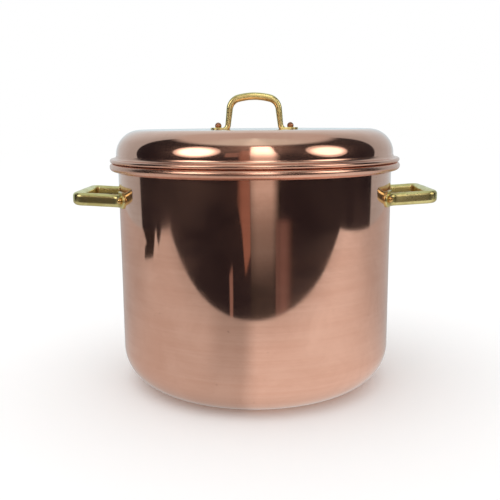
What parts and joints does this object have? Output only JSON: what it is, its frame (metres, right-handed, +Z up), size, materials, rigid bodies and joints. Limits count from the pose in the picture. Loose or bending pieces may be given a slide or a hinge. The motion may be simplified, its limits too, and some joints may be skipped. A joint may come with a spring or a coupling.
{
  "type": "soup kettle",
  "caption": "Round lidded copper soup kettle with a rolled rim, cast brass loop handles at its sides and a lift-off lid with an arched brass handle",
  "frame": {"origin": "centre of the underside of the base, on the axis of the kettle", "axes": "+Z up along the axis of the kettle, +X through the right side handle, +Y to the back"},
  "size_m": [0.39, 0.318, 0.3195],
  "materials": {
    "copper": "polished copper sheet with fine lathe-polishing lines",
    "tin": "hand-wiped tin lining, soft satin",
    "rim_wire": "drawn steel wire",
    "cast_brass": "polished cast brass",
    "side_rivets": "polished rivet heads",
    "collar": "tinned copper sheet",
    "lid_rivets": "darkened copper rivet heads"
  },
  "bodies": {
    "kettle": {"kettle_body": "copper", "kettle_lining": "tin", "kettle_rim_wire": "rim_wire", "left_handle": "cast_brass", "left_front_rivet": "side_rivets", "left_rear_rivet": "side_rivets", "right_handle": "cast_brass", "right_front_rivet": "side_rivets", "right_rear_rivet": "side_rivets"},
    "lid": {"lid_shell": "copper", "lid_lining": "tin", "lid_rim_wire": "rim_wire", "lid_collar": "collar", "lid_handle": "cast_brass", "lid_left_rivet": "lid_rivets", "lid_right_rivet": "lid_rivets"}
  },
  "joints": [
    {"name": "lid_lift", "type": "slide", "parent": "kettle", "child": "lid", "axis": [0, 0, 1], "range_m": [0, 0.1]}
  ]
}
